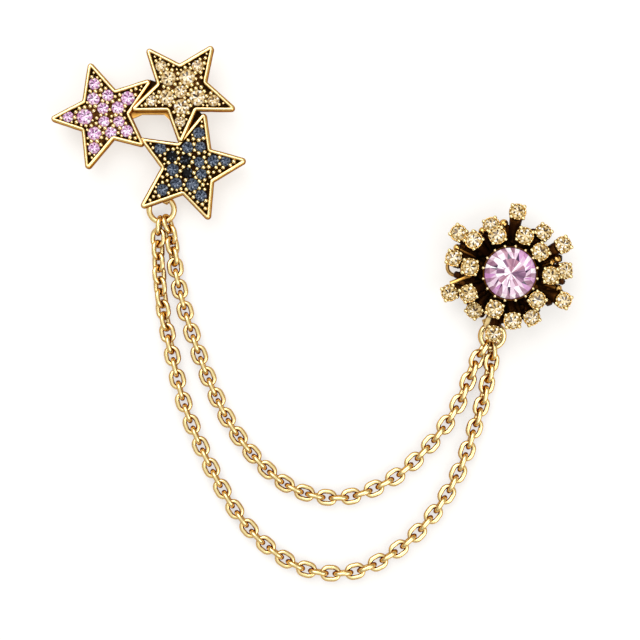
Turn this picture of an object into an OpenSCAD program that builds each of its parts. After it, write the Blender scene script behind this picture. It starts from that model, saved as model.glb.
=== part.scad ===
// Lapel chain: a brooch of three stars and a brooch of stones on stalks, joined by
// two strands of cable chain. It lies flat on its back. Sizes are in millimetres,
// X runs across, Y towards the collar, and Z = 0 is what it lies on.

/* [Layout] */
// How far left of the middle the star brooch is centred
star_left = 28.5; // [27:0.1:30]
// How far above the middle the star brooch is centred
star_up = 35.26; // [34:0.02:37]
// How far right of the middle the burst brooch is centred
burst_right = 36.3; // [35:0.1:38]
// How far above the middle the burst brooch is centred
burst_up = 7.66; // [6:0.02:9]
// Height of both brooches' backs above what they lie on
back_height = 3.2; // [3.1:0.1:3.8]

/* [Stars] */
// Reach of each star from its centre to its points
star_reach = 9.8; // [9.6:0.05:10.2]
// Thickness of a star, from its back to its rim
star_thick = 2.2; // [2:0.1:2.8]
// How much higher the champagne star lies than the other two
champagne_lift = 0.7; // [0.4:0.1:1]
// How far the rim's wall stands outside its ridge
rim_outside = 0.4; // [0.3:0.05:0.5]
// How far the sunken floor stays inside the rim's ridge
rim_inside = 0.3; // [0.2:0.05:0.4]
// Depth of the sunken floor below the rim
floor_depth = 0.6; // [0.5:0.05:0.8]
// Width and height of the bevel along the rim's outer edge
rim_bevel = 0.2; // [0.1:0.05:0.25]
// Radius of the rounded points
point_radius = 0.6; // [0.5:0.05:0.7]
// Thickness of the low webs that join the stars
web_thick = 1.1; // [0.8:0.1:1.5]

/* [Burst] */
// Reach of the burst from its centre to its farthest stones
burst_reach = 11.6; // [11.4:0.05:12]
// Width of the big middle stone
center_stone_d = 9.4; // [9:0.1:9.7]
// Height of the big stone's widest line
center_stone_z = 8.9; // [8.7:0.1:9.3]
// Width of the stones on the inner stalks
inner_stone_d = 2.8; // [2.6:0.05:2.9]
// Width of the stones on the outer stalks
outer_stone_d = 2.6; // [2.4:0.05:2.7]
// Wall of the cup that holds a stone
cup_wall = 0.26; // [0.2:0.02:0.32]
// Width of a stalk where it meets its cup
stalk_d = 1.7; // [1.5:0.1:1.9]
// Width of a stalk where it leaves the hub
stalk_root_d = 1.4; // [1.2:0.1:1.6]
// Width of the hub's dish
hub_d = 16; // [15:0.5:17]
// Width of the hub's flat back
hub_back_d = 10; // [9:0.5:11]
// Height of the hub's dish
hub_thick = 1.4; // [1.2:0.1:1.6]
// Width of a prong's ball
prong_d = 0.62; // [0.5:0.02:0.7]

/* [Rings and lugs] */
// Outer width of the star brooch's ring
star_ring_d = 5.74; // [5.5:0.02:6]
// Outer width of the burst brooch's ring
burst_ring_d = 5.4; // [5.2:0.02:5.7]
// Wire thickness of both rings
ring_wire = 0.9; // [0.8:0.02:1]
// Space between a ring's wire and its lug
lug_clearance = 0.2; // [0.15:0.01:0.25]
// Thickness of a lug's band
lug_thick = 0.6; // [0.5:0.05:0.7]
// Width of a lug's band
lug_width = 1.3; // [1.1:0.1:1.5]

/* [Chain] */
// Width of a link
link_width = 3.12; // [3.08:0.01:3.16]
// Wire thickness of a link
link_wire = 0.7; // [0.66:0.01:0.72]
// Mean distance from one link to the next
link_pitch = 2.2; // [2.19:0.01:2.22]
// Play between two links where the strand is tightest
link_play = 0.11; // [0.08:0.01:0.14]

/* [Pin backs] */
// Length of the star brooch's pin back
star_pin_length = 17.5; // [16:0.5:18]
// Length of the burst brooch's pin back
burst_pin_length = 15; // [14:0.5:16]
// Width of a pin back's bar
pin_bar_width = 2.8; // [2.4:0.1:3]
// Thickness of a pin back's bar
pin_bar_thick = 0.7; // [0.5:0.1:0.9]
// Thickness of the pin itself
pin_wire = 0.8; // [0.7:0.05:0.9]
// Length of the block at each end of a pin back
pin_block = 2.2; // [2:0.1:2.6]

/* [Fits] */
// Gap between a stone and its seat, and between a pin back and its brooch
seat_gap = 0.05; // [0.04:0.01:0.06]

/* [Hidden] */
$fn = 48;
TIP = 0;
NOTCH = 2;

star_place = [-star_left, star_up];
burst_place = [burst_right, burst_up];

// Centres of the stars from the brooch's centre, as shares of star_reach
pink_center = [-1.01, 0.18];
champagne_center = [0.44, 0.63];
navy_center = [0.58, -0.81];

// Ridges of the rims: [point direction, point reach, notch direction, notch reach], the
// directions in degrees and the reaches as shares of star_reach
pink_outline = [
    [37, 1.08, 66, 0.48],
    [106, 1.00, 147, 0.46],
    [184, 1.00, 214, 0.48],
    [252, 1.05, 291, 0.45],
    [322, 0.91, 4, 0.44]];
champagne_outline = [
    [55, 1.01, 93, 0.47],
    [129, 1.00, 164, 0.44],
    [201, 0.98, 235, 0.42],
    [269, 0.96, 308, 0.43],
    [341, 1.06, 20, 0.47]];
navy_outline = [
    [74, 1.05, 114, 0.47],
    [149, 1.02, 180, 0.48],
    [220, 1.16, 257, 0.48],
    [291, 1.03, 330, 0.50],
    [7, 1.07, 40, 0.50]];

// Stones: [across, up, radius] from the star's centre, as shares of star_reach
pink_table = [
    [-0.19, 0.59, 0.11],
    [-0.21, 0.31, 0.12],
    [0.06, 0.37, 0.11],
    [0.44, 0.32, 0.13],
    [-0.69, -0.03, 0.105],
    [-0.38, -0.03, 0.15],
    [-0.03, 0.13, 0.11],
    [0.25, 0.14, 0.12],
    [-0.01, -0.12, 0.105],
    [0.27, -0.12, 0.105],
    [-0.19, -0.35, 0.13],
    [0.12, -0.33, 0.11],
    [0.42, -0.30, 0.115],
    [-0.20, -0.62, 0.11]];
champagne_table = [
    [-0.38, 0.47, 0.105],
    [0.31, 0.47, 0.11],
    [-0.24, 0.24, 0.14],
    [0.11, 0.26, 0.15],
    [-0.56, -0.18, 0.105],
    [-0.28, -0.12, 0.14],
    [-0.01, -0.01, 0.12],
    [0.31, -0.13, 0.15],
    [0.61, -0.18, 0.11],
    [0.01, -0.30, 0.145],
    [-0.02, -0.58, 0.10]];
navy_table = [
    [0.19, 0.65, 0.11],
    [-0.02, 0.38, 0.11],
    [0.22, 0.39, 0.10],
    [-0.54, 0.36, 0.11],
    [-0.32, 0.21, 0.11],
    [-0.06, 0.14, 0.105],
    [0.20, 0.10, 0.10],
    [0.46, 0.13, 0.11],
    [0.69, 0.12, 0.095],
    [-0.30, -0.04, 0.115],
    [-0.03, -0.10, 0.105],
    [0.24, -0.12, 0.10],
    [-0.24, -0.30, 0.11],
    [0.07, -0.32, 0.12],
    [-0.50, -0.42, 0.11],
    [0.23, -0.53, 0.11]];

// Webs between the stars, as shares of star_reach from the brooch's centre
pink_web = [[-0.16, 0.86], [0.05, 0.79], [-0.10, 0.50], [-0.52, 0.26]];
gap_web = [
    [-0.60, 0.36], [0.28, 0.36], [0.26, 0.05], [0.20, 0.12],
    [0.11, 0.20], [-0.31, 0.20], [-0.40, 0.16], [-0.50, 0.12]];
navy_web = [[0.70, 0.34], [0.85, 0.18], [0.42, -0.36], [0.38, -0.22]];
// Where the pink and the navy star's points are soldered together
solder_place = [-0.29, -0.30];

// Burst stones: [direction in degrees, reach as a share of burst_reach, height of
// the stone's widest line as a share of burst_height, lean outwards in degrees, 1 on
// the inner ring or 0]
burst_height = 10;
AZIMUTH = 0;
REACH = 1;
HEIGHT = 2;
LEAN = 3;
INNER = 4;
burst_table = [
    [82, 0.99, 0.68, 14, 0],
    [109, 0.83, 0.52, 30, 0],
    [108, 0.63, 0.79, 10, 1],
    [141, 1.03, 0.60, 18, 0],
    [137, 0.775, 0.76, 14, 1],
    [68, 0.64, 0.77, 8, 1],
    [50, 0.86, 0.60, 16, 0],
    [35, 0.595, 0.79, 8, 1],
    [28, 0.98, 0.64, 14, 0],
    [164, 0.91, 0.60, 16, 0],
    [171, 0.635, 0.78, 6, 1],
    [357, 0.65, 0.82, 8, 1],
    [3, 0.90, 0.60, 26, 0],
    [198, 0.99, 0.60, 14, 0],
    [206, 0.725, 0.76, 10, 1],
    [227, 0.80, 0.56, 18, 0],
    [247, 0.61, 0.79, 8, 1],
    [316, 0.605, 0.77, 10, 1],
    [334, 0.97, 0.62, 16, 0],
    [298, 0.79, 0.56, 20, 0],
    [274, 0.75, 0.72, 14, 1],
    [256, 0.98, 0.58, 12, 0]];

// Rings: middle from the brooch's centre, as shares of star_reach and of burst_reach,
// and the way each slopes
star_ring_place = [0.043, -1.584];
burst_ring_place = [-0.233, -0.991];
star_lug_direction = 64;
burst_lug_direction = 113;

// The strands' routes, as shares of the way across from ring to ring and of each
// strand's drop below the star brooch's ring
outer_drop = 68.1;
inner_drop = 53.7;
outer_route = [
    [-0.011, 0.113], [0.000, 0.248], [0.025, 0.370], [0.067, 0.530],
    [0.134, 0.680], [0.221, 0.822], [0.314, 0.919], [0.438, 0.987],
    [0.587, 0.992], [0.722, 0.928], [0.825, 0.832], [0.899, 0.719],
    [0.949, 0.593], [0.984, 0.479]];
inner_route = [
    [0.032, 0.125], [0.046, 0.237], [0.080, 0.389], [0.138, 0.579],
    [0.212, 0.754], [0.316, 0.902], [0.426, 0.983], [0.563, 1.000],
    [0.702, 0.934], [0.811, 0.819], [0.893, 0.687], [0.951, 0.530]];
// Where each strand hooks its two rings, in degrees round the star ring and the
// burst ring
outer_hooks = [-100, -87];
inner_hooks = [-64, -124];
// Each link is turned a quarter turn from the one before it, and the strand is
// twisted by these angles: [share of the links, degrees]
outer_twist = [
    [0, 6], [0.034, 40], [0.05, 46], [0.07, 46], [0.1, 36], [0.135, 22], [0.2, 0],
    [0.85, 0], [0.97, 20], [1, 20]];
inner_twist = [
    [0, -62], [0.02, -49], [0.041, -46], [0.061, -28], [0.082, -10], [0.1, 0],
    [0.85, 0], [0.97, 20], [1, 12]];
// Where the links lie closer or wider: [share of the links, share of the way]
outer_paces = [
    [0, 0], [0.08, 0.082], [0.2, 0.2], [0.55, 0.549], [0.75, 0.7555], [0.88, 0.886], [1, 1]];
inner_paces = [[0, 0], [0.15, 0.143], [0.33, 0.322], [0.6, 0.58], [1, 1]];

BURST_COUNT = len(burst_table);

// Plain helpers for pairs of numbers and closed lists
function unit(v) = v / norm(v);
function quarter(v) = [-v[1], v[0]];
function heading(v) = atan2(v[1], v[0]);
function toward(angle, reach) = reach * [cos(angle), sin(angle)];
function item(list, i) = list[(i + len(list)) % len(list)];

// Corners of a star: its points and notches in turn
function star_corners(outline) = [
    for (row = outline, end = [TIP, NOTCH])
        toward(row[end], star_reach * row[end + 1])];

// A closed outline moved inwards by d
function inset(points, d) = [
    for (i = [0:len(points) - 1])
        let (
            before = quarter(unit(points[i] - item(points, i - 1))),
            after = quarter(unit(item(points, i + 1) - points[i])))
        points[i] + d * (before + after) / (1 + before * after)];

// A star's corners with its points rounded to radius r
ARC_STEPS = 4;
function round_points(corners, r) = [
    for (i = [0:len(corners) - 1])
        let (
            back = unit(item(corners, i - 1) - corners[i]),
            ahead = unit(item(corners, i + 1) - corners[i]),
            half = acos(back * ahead) / 2,
            middle = corners[i] + unit(back + ahead) * r / sin(half),
            face = heading(-(back + ahead)))
        for (step = i % 2 == 0 ? [-ARC_STEPS:ARC_STEPS] : [0])
            i % 2 == 0 ? middle + toward(face + (90 - half) * step / ARC_STEPS, r) : corners[i]];

// Cut stones: [reach, height, turn in sides] of each ring of corners, as shares
// of the stone's radius, from the table down to the lower edge of the girdle
EDGE_DROP = 0.08;
BACK_DROP = 0.72;
SMALL_CUT = [[0.58, 0.36, 0.5], [1, 0, 0], [1, -EDGE_DROP, 0]];
LARGE_CUT = [[0.56, 0.32, 0], [0.82, 0.2, 0.5], [1, 0, 0], [1, -EDGE_DROP, 0]];
SMALL_SIDES = 8;
LARGE_SIDES = 12;

module cut_stone(radius, sides, rings) {
    tip = len(rings) * sides;
    low = tip - sides;
    points = [
        for (ring = rings, i = [0:sides - 1])
            let (side = toward(360 * (i + ring[2]) / sides, ring[0]))
            radius * [side[0], side[1], ring[1]]];
    table = [for (i = [0:sides - 1]) sides - 1 - i];
    crown = [
        for (ring = [0:len(rings) - 2], i = [0:sides - 1])
            let (
                turned = rings[ring][2] - rings[ring + 1][2],
                a = ring * sides + i,
                next_a = ring * sides + (i + 1) % sides,
                b = a + sides,
                next_b = next_a + sides)
            each (turned == 0 ? [[a, next_a, next_b, b]]
                : turned > 0 ? [[a, next_b, b], [a, next_a, next_b]]
                : [[a, next_a, b], [next_a, next_b, b]])];
    back = [for (i = [0:sides - 1]) [low + i, low + (i + 1) % sides, tip]];
    polyhedron(concat(points, [[0, 0, -radius * BACK_DROP]]), concat([table], crown, back));
}

// The hollow under a stone, with the seat gap all round
SEAT_SPARE = 1.7;
function seat_depth(radius) = radius * BACK_DROP + seat_gap * SEAT_SPARE;

module seat_hollow(radius, above) {
    wide = radius + seat_gap;
    rotate_extrude()
        polygon([
            [0, -seat_depth(radius)],
            [wide, -radius * EDGE_DROP - seat_gap],
            [wide, above],
            [0, above]]);
}

// Stars: [centre, outline, stones, lift]
STARS = [
    [pink_center, pink_outline, pink_table, 0],
    [navy_center, navy_outline, navy_table, 0],
    [champagne_center, champagne_outline, champagne_table, champagne_lift]];
PINK = 0;
NAVY = 1;
CHAMPAGNE = 2;
STONE_RISE = 0.1;
OPEN_ABOVE = 1;
star_floor = star_thick - floor_depth;

module at_star(star) {
    place = star_place + star_reach * star[0];
    translate([place[0], place[1], back_height + star[3]]) children();
}

module star_body(star) {
    ridge = star_corners(star[1]);
    linear_extrude(star_thick - rim_bevel)
        polygon(round_points(inset(ridge, -rim_outside), point_radius));
    linear_extrude(star_thick)
        polygon(round_points(inset(ridge, rim_bevel - rim_outside), point_radius - rim_bevel / 2));
}

module star_recess(star) {
    translate([0, 0, star_floor])
        linear_extrude(floor_depth + OPEN_ABOVE)
            polygon(inset(star_corners(star[1]), rim_inside));
    for (row = star[2])
        translate([star_reach * row[0], star_reach * row[1], star_floor + STONE_RISE])
            seat_hollow(star_reach * row[2], floor_depth + OPEN_ABOVE);
}

module star_stones(star) {
    at_star(star)
        for (row = star[2])
            translate([star_reach * row[0], star_reach * row[1], star_floor + STONE_RISE])
                cut_stone(star_reach * row[2], SMALL_SIDES, SMALL_CUT);
}

module web(outline) {
    translate([star_place[0], star_place[1], back_height])
        linear_extrude(web_thick) polygon(star_reach * outline);
}

// The drop of solder between two stars' points
SOLDER_REACH = 0.06;
module solder() {
    place = star_place + star_reach * solder_place;
    translate([place[0], place[1], back_height])
        cylinder(h = star_thick - rim_bevel, r = star_reach * SOLDER_REACH);
}

// Lug: a flat band bent round the ring's wire, standing on edge, placed by the
// middle of the wire
LUG_SINK = 0.3;
lug_inner = ring_wire / 2 + lug_clearance;
lug_outer = lug_inner + lug_thick;
lug_z = back_height + LUG_SINK - lug_outer;

module lug(place, direction) {
    translate([place[0], place[1], lug_z])
        rotate([90, 0, direction])
            rotate_extrude()
                translate([lug_inner, -lug_width / 2])
                    square([lug_thick, lug_width]);
}

star_ring_center = star_place + star_reach * star_ring_place;
burst_ring_center = burst_place + burst_reach * burst_ring_place;
star_ring_radius = (star_ring_d - ring_wire) / 2;
burst_ring_radius = (burst_ring_d - ring_wire) / 2;
star_lug_place = star_ring_center + toward(star_lug_direction, star_ring_radius);
burst_lug_place = burst_ring_center + toward(burst_lug_direction, burst_ring_radius);

module star_casting() {
    color("goldenrod") {
        difference() {
            union() {
                at_star(STARS[PINK]) star_body(STARS[PINK]);
                at_star(STARS[NAVY]) star_body(STARS[NAVY]);
                web(pink_web);
                web(gap_web);
                web(navy_web);
                solder();
            }
            at_star(STARS[PINK]) star_recess(STARS[PINK]);
            at_star(STARS[NAVY]) star_recess(STARS[NAVY]);
        }
        at_star(STARS[CHAMPAGNE])
            difference() {
                star_body(STARS[CHAMPAGNE]);
                star_recess(STARS[CHAMPAGNE]);
            }
        lug(star_lug_place, star_lug_direction);
    }
}

module pink_stones() {
    color("plum") star_stones(STARS[PINK]);
}

module champagne_stones() {
    color("wheat") star_stones(STARS[CHAMPAGNE]);
}

module navy_stones() {
    color("slategray") star_stones(STARS[NAVY]);
}

// Burst: each stone's place, radius and lean
function burst_reach_of(row) = burst_place + toward(row[AZIMUTH], burst_reach * row[REACH]);
function stone_height(row) = burst_height * row[HEIGHT];
function burst_radius(row) = (row[INNER] == 1 ? inner_stone_d : outer_stone_d) / 2;

module at_burst_stone(row) {
    place = burst_reach_of(row);
    translate([place[0], place[1], stone_height(row)])
        rotate([0, row[LEAN], row[AZIMUTH]])
            children();
}

// A cup round a stone, with its foot below and its prongs' balls on the lip
LIP = 0.1;
CUP_FLOOR = 0.35;
CUP_WAIST = 0.5;
FOOT_DEPTH = 0.9;
FOOT_TAPER = 0.6;
PRONG_OUT = 0.06;
BALL_ROUND = 24;
function cup_bottom(radius) = -seat_depth(radius) - CUP_FLOOR;

module cup(radius, prongs, foot_d) {
    inside = radius + seat_gap;
    outside = inside + cup_wall;
    rotate_extrude()
        polygon([
            [0, cup_bottom(radius) - FOOT_DEPTH],
            [foot_d / 2 * FOOT_TAPER, cup_bottom(radius) - FOOT_DEPTH],
            [foot_d / 2, cup_bottom(radius)],
            [outside, cup_bottom(radius) * CUP_WAIST],
            [outside, LIP],
            [inside, LIP],
            [inside, -radius * EDGE_DROP - seat_gap],
            [0, -seat_depth(radius)]]);
    for (i = [0:prongs - 1])
        rotate([0, 0, 360 * (i + 0.5) / prongs])
            translate([outside + PRONG_OUT, 0, LIP])
                sphere(d = prong_d, $fn = BALL_ROUND);
}

// A round bar that tapers from one place to another
module stalk(from, to, from_d, to_d) {
    run = to - from;
    translate(from)
        rotate([0, acos(run[2] / norm(run)), heading(run)])
            cylinder(h = norm(run), d1 = from_d, d2 = to_d);
}

// A stalk leaves the hub here, the inner ones nearer its middle, and ends in its
// cup's foot
INNER_ROOT = 0.14;
OUTER_ROOT = 0.26;
STALK_DROP = 0.45;
FOOT_SHARE = 1.1;

module burst_stalk(row) {
    root_share = row[INNER] == 1 ? INNER_ROOT : OUTER_ROOT;
    root = burst_place + toward(row[AZIMUTH], hub_d * root_share);
    back = STALK_DROP - cup_bottom(burst_radius(row));
    end = burst_reach_of(row) - toward(row[AZIMUTH], back * sin(row[LEAN]));
    stalk(
        [root[0], root[1], back_height + stalk_root_d / 2],
        [end[0], end[1], stone_height(row) - back * cos(row[LEAN])],
        stalk_root_d,
        stalk_d);
}

module burst_cup(row) {
    at_burst_stone(row) cup(burst_radius(row), PRONGS, stalk_d * FOOT_SHARE);
}

PRONGS = 4;
CENTER_PRONGS = 16;
CENTER_FOOT_D = 3;
ARM_THICK = 0.9;
ARM_WIDTH = 1.8;
STEM_SINK = 0.2;

module ring_arm() {
    run = burst_lug_place - burst_place;
    translate([burst_place[0], burst_place[1], back_height])
        rotate([0, 0, heading(run)]) {
            translate([0, -ARM_WIDTH / 2, 0]) cube([norm(run), ARM_WIDTH, ARM_THICK]);
            translate([norm(run), 0, 0]) cylinder(h = ARM_THICK, d = ARM_WIDTH);
        }
}

module at_center_stone() {
    translate([burst_place[0], burst_place[1], center_stone_z]) children();
}

module burst_casting() {
    color("darkgoldenrod") {
        translate([burst_place[0], burst_place[1], back_height]) {
            cylinder(h = hub_thick, d1 = hub_back_d, d2 = hub_d);
            cylinder(
                h = center_stone_z + cup_bottom(center_stone_d / 2) - back_height - STEM_SINK,
                d = CENTER_FOOT_D);
        }
        at_center_stone() cup(center_stone_d / 2, CENTER_PRONGS, CENTER_FOOT_D);
        for (row = burst_table) {
            burst_stalk(row);
            burst_cup(row);
        }
        ring_arm();
        lug(burst_lug_place, burst_lug_direction);
    }
}

module center_stone() {
    color("plum")
        at_center_stone()
            cut_stone(center_stone_d / 2, LARGE_SIDES, LARGE_CUT);
}

module burst_stone(row) {
    color("wheat")
        at_burst_stone(row)
            cut_stone(burst_radius(row), SMALL_SIDES, SMALL_CUT);
}

// Rings: each slopes from the height of its lug down to the height of the links
chain_z = link_width / 2;

module ring(place, radius, direction) {
    slope = asin((lug_z - chain_z) / 2 / radius);
    translate([place[0], place[1], (lug_z + chain_z) / 2])
        rotate([0, 0, direction])
            rotate([0, -slope, 0])
                rotate_extrude() translate([radius, 0]) circle(d = ring_wire);
}

module star_ring() {
    color("gold") ring(star_ring_center, star_ring_radius, star_lug_direction);
}

module burst_ring() {
    color("gold") ring(burst_ring_center, burst_ring_radius, burst_lug_direction);
}

// A strand's route: a smooth curve through its points from hook to hook. A hook is
// the middle of the play between the ring's wire and the first link
RING_PLAY = 0.12;
hook_inset = (ring_wire + RING_PLAY) / 2;

function hook(place, radius, angle) = place + toward(angle, radius - hook_inset);

function route_points(hooks, route, drop) =
    let (
        start = hook(star_ring_center, star_ring_radius, hooks[0]),
        end = hook(burst_ring_center, burst_ring_radius, hooks[1]),
        across = burst_ring_center[0] - star_ring_center[0],
        placed = [for (row = route) star_ring_center + [row[0] * across, -row[1] * drop]],
        first = placed[0],
        last = placed[len(placed) - 1])
    concat(
        [first - toward(hooks[0], 2 * norm(first - start)), start],
        placed,
        [end, last - toward(hooks[1], 2 * norm(end - last))]);

function on_route(points, u) =
    let (
        i = min(floor(u), len(points) - 4),
        t = u - i,
        a = points[i],
        b = points[i + 1],
        c = points[i + 2],
        d = points[i + 3])
    (2 * b + (c - a) * t + (2 * a - 5 * b + 4 * c - d) * t * t
        + (3 * b - a - 3 * c + d) * t * t * t) / 2;

// A table from the length run along the route to the place on it
ROUTE_STEPS = 12;
function run_table(points) =
    let (
        count = (len(points) - 3) * ROUTE_STEPS,
        along = [for (i = [0:count]) on_route(points, i / ROUTE_STEPS)])
    [for (i = 0, run = 0; i <= count;
        run = run + (i < count ? norm(along[i + 1] - along[i]) : 0), i = i + 1)
        [run, i / ROUTE_STEPS]];

// The widest spacing in a table of paces
function widest(paces) = max([
    for (i = [1:len(paces) - 1])
        (paces[i][1] - paces[i - 1][1]) / (paces[i][0] - paces[i - 1][0])]);

// The number of links that fits a length: odd where odd is 1, even where it is 0
function link_count(run, odd) = 2 * round((run / link_pitch - odd) / 2) + odd;

// A link lies along X, flat in the XY plane. Its straight is a whole number of steps
LINK_ROUND = 24;
LINK_STEP = 0.02;
function link_straight(spacing) =
    LINK_STEP * ceil((spacing + 2 * link_wire + link_play - link_width) / LINK_STEP);

module link(straight) {
    bend = (link_width - link_wire) / 2;
    for (side = [-1, 1]) {
        translate([0, side * bend, 0])
            rotate([0, 90, 0])
                cylinder(h = straight, d = link_wire, center = true, $fn = LINK_ROUND);
        translate([side * straight / 2, 0, 0])
            rotate([0, 0, -90 * side])
                rotate_extrude(angle = 180, $fn = LINK_ROUND)
                    translate([bend, 0]) circle(d = link_wire, $fn = LINK_ROUND);
    }
}

QUARTER_TURN = 90;
module strand(hooks, route, drop, odd, twist, paces) {
    points = route_points(hooks, route, drop);
    table = run_table(points);
    run = table[len(table) - 1][0];
    count = link_count(run, odd);
    straight = link_straight(widest(paces) * run / count);
    for (i = [0:count - 1]) {
        from = on_route(points, lookup(run * lookup(i / count, paces), table));
        to = on_route(points, lookup(run * lookup((i + 1) / count, paces), table));
        turn = QUARTER_TURN * (i + odd) + lookup(i / (count - 1), twist);
        translate([(from[0] + to[0]) / 2, (from[1] + to[1]) / 2, chain_z])
            rotate([0, 0, heading(to - from)])
                rotate([turn, 0, 0])
                    link(straight);
    }
}

module outer_chain() {
    color("gold") strand(outer_hooks, outer_route, outer_drop, 1, outer_twist, outer_paces);
}

module inner_chain() {
    color("gold") strand(inner_hooks, inner_route, inner_drop, 0, inner_twist, inner_paces);
}

// Pin backs: a bar with a block at each end and the pin between them
PIN_RISE = 1.2;
PIN_PLAY = 0.12;
PIN_POKE = 0.7;
PIN_TIP = 0.1;
BLOCK_WIDTH = 2.2;
CUT_SPARE = 1;
bar_low = back_height - seat_gap - pin_bar_thick;

module pin_back(length) {
    block_x = (length - pin_block) / 2;
    bar_reach = (length - pin_bar_width) / 2;
    translate([0, 0, bar_low]) {
        translate([-bar_reach, -pin_bar_width / 2, 0])
            cube([2 * bar_reach, pin_bar_width, pin_bar_thick]);
        for (side = [-1, 1])
            translate([side * bar_reach, 0, 0])
                cylinder(h = pin_bar_thick, d = pin_bar_width);
    }
    translate([block_x - pin_block / 2, -BLOCK_WIDTH / 2, 0])
        cube([pin_block, BLOCK_WIDTH, bar_low]);
    difference() {
        translate([-block_x - pin_block / 2, -BLOCK_WIDTH / 2, 0])
            cube([pin_block, BLOCK_WIDTH, bar_low]);
        translate([-block_x, 0, PIN_RISE])
            rotate([0, 90, 0])
                cylinder(h = pin_block + CUT_SPARE, d = pin_wire + 2 * PIN_PLAY, center = true);
        translate([-block_x - pin_block / 2 - CUT_SPARE / 2, 0, PIN_RISE - pin_wire / 2 - PIN_PLAY])
            cube([pin_block + CUT_SPARE, BLOCK_WIDTH, pin_wire + 2 * PIN_PLAY]);
    }
    translate([block_x, 0, PIN_RISE])
        rotate([0, -90, 0]) {
            cylinder(h = block_x * 2, d = pin_wire);
            translate([0, 0, block_x * 2])
                cylinder(h = pin_block / 2 + PIN_POKE, d1 = pin_wire, d2 = PIN_TIP);
        }
}

// The star brooch's pin back runs from the pink star to the champagne star
star_pin_place = [-0.29, 0.40];
star_pin_direction = 17;

module star_pin() {
    place = star_place + star_reach * star_pin_place;
    color("darkkhaki")
        translate([place[0], place[1], 0])
            rotate([0, 0, star_pin_direction])
                pin_back(star_pin_length);
}

// The burst brooch's pin back ends in a curl at its catch
burst_pin_shift = -1.1;
curl_radius = 1.5;
curl_wire = 0.72;
curl_shift = [-1, 1.3];
curl_start = 100;
curl_turn = 250;
CURL_RISE = 0.1;

module burst_pin() {
    color("darkkhaki")
        translate([burst_place[0] + burst_pin_shift, burst_place[1], 0]) {
            pin_back(burst_pin_length);
            translate([curl_shift[0] - burst_pin_length / 2, curl_shift[1], bar_low + CURL_RISE])
                rotate([0, 0, curl_start])
                    rotate_extrude(angle = curl_turn)
                        translate([curl_radius, 0]) circle(d = curl_wire, $fn = LINK_ROUND);
        }
}

star_casting();
pink_stones();
champagne_stones();
navy_stones();
star_pin();
star_ring();
outer_chain();
inner_chain();
burst_casting();
center_stone();
burst_pin();
burst_ring();
for (i = [1:BURST_COUNT])
    burst_stone(burst_table[i - 1]);
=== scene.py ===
"""Looks for a lapel chain: a brooch of three set stars and a brooch of stones on stalks,
joined by two strands of cable chain. Shapes are made in millimetres, in the frame's own
directions, and turned to metres when a piece is finished."""

import math
import random

import bpy
from mathutils import Matrix, Vector, noise


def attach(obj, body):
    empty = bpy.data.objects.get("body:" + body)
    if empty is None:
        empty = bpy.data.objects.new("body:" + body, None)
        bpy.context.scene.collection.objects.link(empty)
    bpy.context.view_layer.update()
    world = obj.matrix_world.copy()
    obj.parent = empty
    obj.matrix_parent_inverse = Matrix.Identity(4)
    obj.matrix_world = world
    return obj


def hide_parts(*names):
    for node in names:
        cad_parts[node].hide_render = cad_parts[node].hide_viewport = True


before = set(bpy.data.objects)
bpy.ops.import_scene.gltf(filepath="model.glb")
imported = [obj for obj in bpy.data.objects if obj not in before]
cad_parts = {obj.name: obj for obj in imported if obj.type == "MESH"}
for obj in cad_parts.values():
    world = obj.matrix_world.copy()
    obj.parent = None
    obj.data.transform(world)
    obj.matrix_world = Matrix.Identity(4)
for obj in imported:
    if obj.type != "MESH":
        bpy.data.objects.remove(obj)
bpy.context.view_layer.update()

MM = 0.001
UP = Vector((0, 0, 1))

# Places and sizes shared with the solids
STAR_PLACE = Vector((-28.5, 35.26, 0))
BURST_PLACE = Vector((36.3, 7.66, 0))
BACK_HEIGHT = 3.2
STAR_REACH = 9.8
STAR_FLOOR = 1.6
STONE_LEVEL = 1.7
CHAMPAGNE_LIFT = 0.7
WEB_THICK = 1.1
BURST_REACH = 11.6
CENTER_STONE_D = 9.4
CENTER_STONE_Z = 8.9
INNER_STONE_D = 2.8
OUTER_STONE_D = 2.6
SEAT_GAP = 0.05
CUP_WALL = 0.26
RING_WIRE = 0.9
LINK_WIDTH = 3.12
LINK_WIRE = 0.7
LINK_PITCH = 2.2
LINK_PLAY = 0.11

# The wires as drawn, a little fuller than the solids', and what that adds to a link
SHOWN_RING_WIRE = 1.06
SHOWN_WIRE = 0.9
SHOWN_SPARE = 0.16
# The softened edges of bars and lugs
SOFT_EDGE = 0.12
# Polish and painted shade run from 0, where the metal is blackened with patina or painted in
# shade, to 1, where it is bright or carries a painted highlight. The material's grain is added to
# it, so the darkest places start below 0.
DARKEST = -0.1

# Stars: centres and ridge outlines as shares of STAR_REACH, the outlines as rows of
# (point direction, point reach, notch direction, notch reach), directions in degrees
PINK_CENTER = (-1.01, 0.18)
CHAMPAGNE_CENTER = (0.44, 0.63)
NAVY_CENTER = (0.58, -0.81)
PINK_OUTLINE = [
    (37, 1.08, 66, 0.48),
    (106, 1.00, 147, 0.46),
    (184, 1.00, 214, 0.48),
    (252, 1.05, 291, 0.45),
    (322, 0.91, 364, 0.44),
]
CHAMPAGNE_OUTLINE = [
    (55, 1.01, 93, 0.47),
    (129, 1.00, 164, 0.44),
    (201, 0.98, 235, 0.42),
    (269, 0.96, 308, 0.43),
    (341, 1.06, 380, 0.47),
]
NAVY_OUTLINE = [
    (74, 1.05, 114, 0.47),
    (149, 1.02, 180, 0.48),
    (220, 1.16, 257, 0.48),
    (291, 1.03, 330, 0.50),
    (367, 1.07, 400, 0.50),
]

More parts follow.
